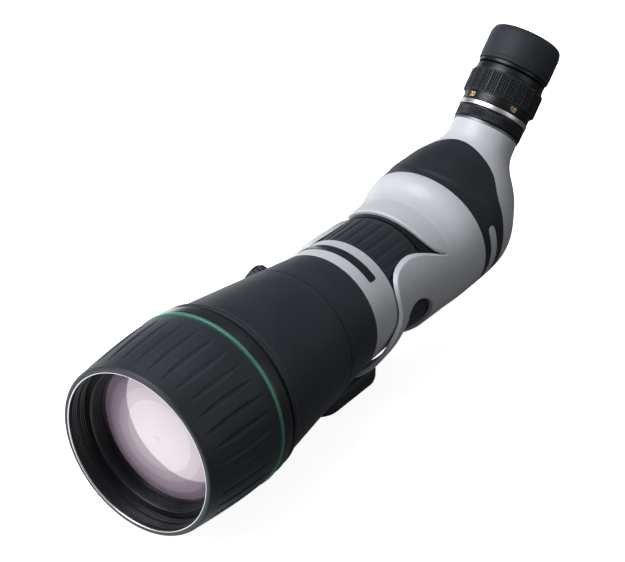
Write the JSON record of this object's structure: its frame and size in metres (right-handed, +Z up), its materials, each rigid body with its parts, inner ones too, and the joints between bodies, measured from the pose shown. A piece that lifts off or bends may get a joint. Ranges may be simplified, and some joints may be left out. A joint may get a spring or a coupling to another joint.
{
  "type": "spotting scope",
  "caption": "Angled spotting scope with sliding sunshade, rotating tripod collar, focus ring between side arms, prism housing, zoom eyepiece and twist-up eyecup.",
  "frame": {"origin": "mouth of the tripod socket, in the base face of the foot", "axes": "+Z up towards the scope, +Y from the objective towards the eyepiece along the optical axis, +X to the right of a person at the eyepiece"},
  "size_m": [0.1072, 0.3904, 0.1632],
  "materials": {
    "black_rubber": "matte moulded armour",
    "grey_armour": "soft-touch coating",
    "black_anodised": "satin black anodised aluminium",
    "gloss_black": "gloss black enamel",
    "green_anodised": "satin green anodised aluminium",
    "bare_aluminium": "machined",
    "chrome": "polished",
    "steel": "turned",
    "brass": "turned",
    "optical_glass": "polished and coated",
    "nylon": "natural",
    "seal_rubber": "plain"
  },
  "bodies": {
    "tripod_mount": {"foot": "black_anodised", "foot_pad": "seal_rubber", "socket_bush": "steel", "foot_screws": "steel", "collar_ring": "black_anodised", "collar_armour": "black_rubber", "brake_shoe": "nylon"},
    "lock_knob_body": {"lock_knob": "black_anodised", "knob_grip": "black_rubber", "lock_stud": "steel"},
    "scope": {"objective_cell": "black_anodised", "friction_ring": "seal_rubber", "accent_ring": "green_anodised", "gloss_band": "gloss_black", "crown_lens": "optical_glass", "flint_lens": "optical_glass", "lens_spacer": "black_anodised", "lens_retainer": "black_anodised", "main_barrel": "black_anodised", "barrel_armour": "black_rubber", "light_baffle": "black_anodised", "rear_tube": "black_anodised", "name_ring": "grey_armour", "badge_plate": "gloss_black", "housing_cover": "grey_armour", "housing_band": "black_rubber", "neck_cover": "grey_armour", "flank_bars": "grey_armour", "prism_housing": "black_anodised", "front_prism": "optical_glass", "roof_prism": "optical_glass", "prism_cradle": "black_anodised", "prism_clip": "steel", "eyepiece_socket": "bare_aluminium", "eyepiece_tube": "black_anodised", "chrome_ring": "chrome", "field_stop": "black_anodised", "eye_lens_mount": "black_anodised", "eye_lens": "optical_glass"},
    "sunshade": {"sunshade_tube": "black_anodised", "rim_ring": "bare_aluminium", "sunshade_grip": "black_rubber"},
    "focus_ring_body": {"focus_ring": "black_anodised", "focus_grip": "black_rubber"},
    "focus_cell_body": {"focus_cell": "black_anodised", "focus_lens": "optical_glass", "focus_pin": "brass"},
    "lock_ring_body": {"lock_ring": "black_anodised"},
    "zoom_ring_body": {"zoom_ring": "black_anodised", "zoom_grip": "black_rubber"},
    "zoom_front_body": {"zoom_cell_front": "black_anodised", "zoom_lens_front": "optical_glass"},
    "zoom_rear_body": {"zoom_cell_rear": "black_anodised", "zoom_lens_rear": "optical_glass"},
    "eyecup_carrier_body": {"eyecup_carrier": "nylon"},
    "eyecup": {"eyecup_sleeve": "black_anodised", "eyecup_rubber": "black_rubber"}
  },
  "joints": [
    {"name": "collar_turn", "type": "hinge", "parent": "tripod_mount", "child": "scope", "pos_m": [0, -0.022, 0.058], "axis": [0, 1, 0], "continuous": true},
    {"name": "lock_knob_turn", "type": "hinge", "parent": "tripod_mount", "child": "lock_knob_body", "pos_m": [0, -0.0172, 0.058], "axis": [-0.9511, 0, 0.309], "range_deg": [0, 270]},
    {"name": "sunshade_slide", "type": "slide", "parent": "scope", "child": "sunshade", "axis": [0, -1, 0], "range_m": [0, 0.032]},
    {"name": "focus_turn", "type": "hinge", "parent": "scope", "child": "focus_ring_body", "pos_m": [0, 0.033, 0.058], "axis": [0, 1, 0], "range_deg": [-140, 140]},
    {"name": "focus_slide", "type": "slide", "parent": "scope", "child": "focus_cell_body", "axis": [0, 1, 0], "range_m": [-0.005, 0.005]},
    {"name": "eyepiece_lock_turn", "type": "hinge", "parent": "scope", "child": "lock_ring_body", "pos_m": [0, 0.1627, 0.1075], "axis": [0, 0.7071, 0.7071], "range_deg": [0, 50]},
    {"name": "zoom_turn", "type": "hinge", "parent": "scope", "child": "zoom_ring_body", "pos_m": [0, 0.17684, 0.12164], "axis": [0, 0.7071, 0.7071], "range_deg": [-70, 70]},
    {"name": "zoom_front_slide", "type": "slide", "parent": "scope", "child": "zoom_front_body", "axis": [0, 0.7071, 0.7071], "range_m": [-0.003, 0.003]},
    {"name": "zoom_rear_slide", "type": "slide", "parent": "scope", "child": "zoom_rear_body", "axis": [0, 0.7071, 0.7071], "range_m": [-0.003, 0.003]},
    {"name": "eyecup_rise", "type": "slide", "parent": "scope", "child": "eyecup_carrier_body", "axis": [0, 0.7071, 0.7071], "range_m": [0, 0.009]},
    {"name": "eyecup_twist", "type": "hinge", "parent": "eyecup_carrier_body", "child": "eyecup", "pos_m": [0, 0.19098, 0.13578], "axis": [0, 0.7071, 0.7071], "range_deg": [0, 120]}
  ],
  "couplings": [
    {"joint": "focus_slide", "follows": "focus_turn", "m_per_rad": 0.0020442},
    {"joint": "zoom_front_slide", "follows": "zoom_turn", "m_per_rad": 0.0024531},
    {"joint": "zoom_rear_slide", "follows": "zoom_turn", "m_per_rad": -0.0024531},
    {"joint": "eyecup_rise", "follows": "eyecup_twist", "m_per_rad": 0.0042929}
  ]
}
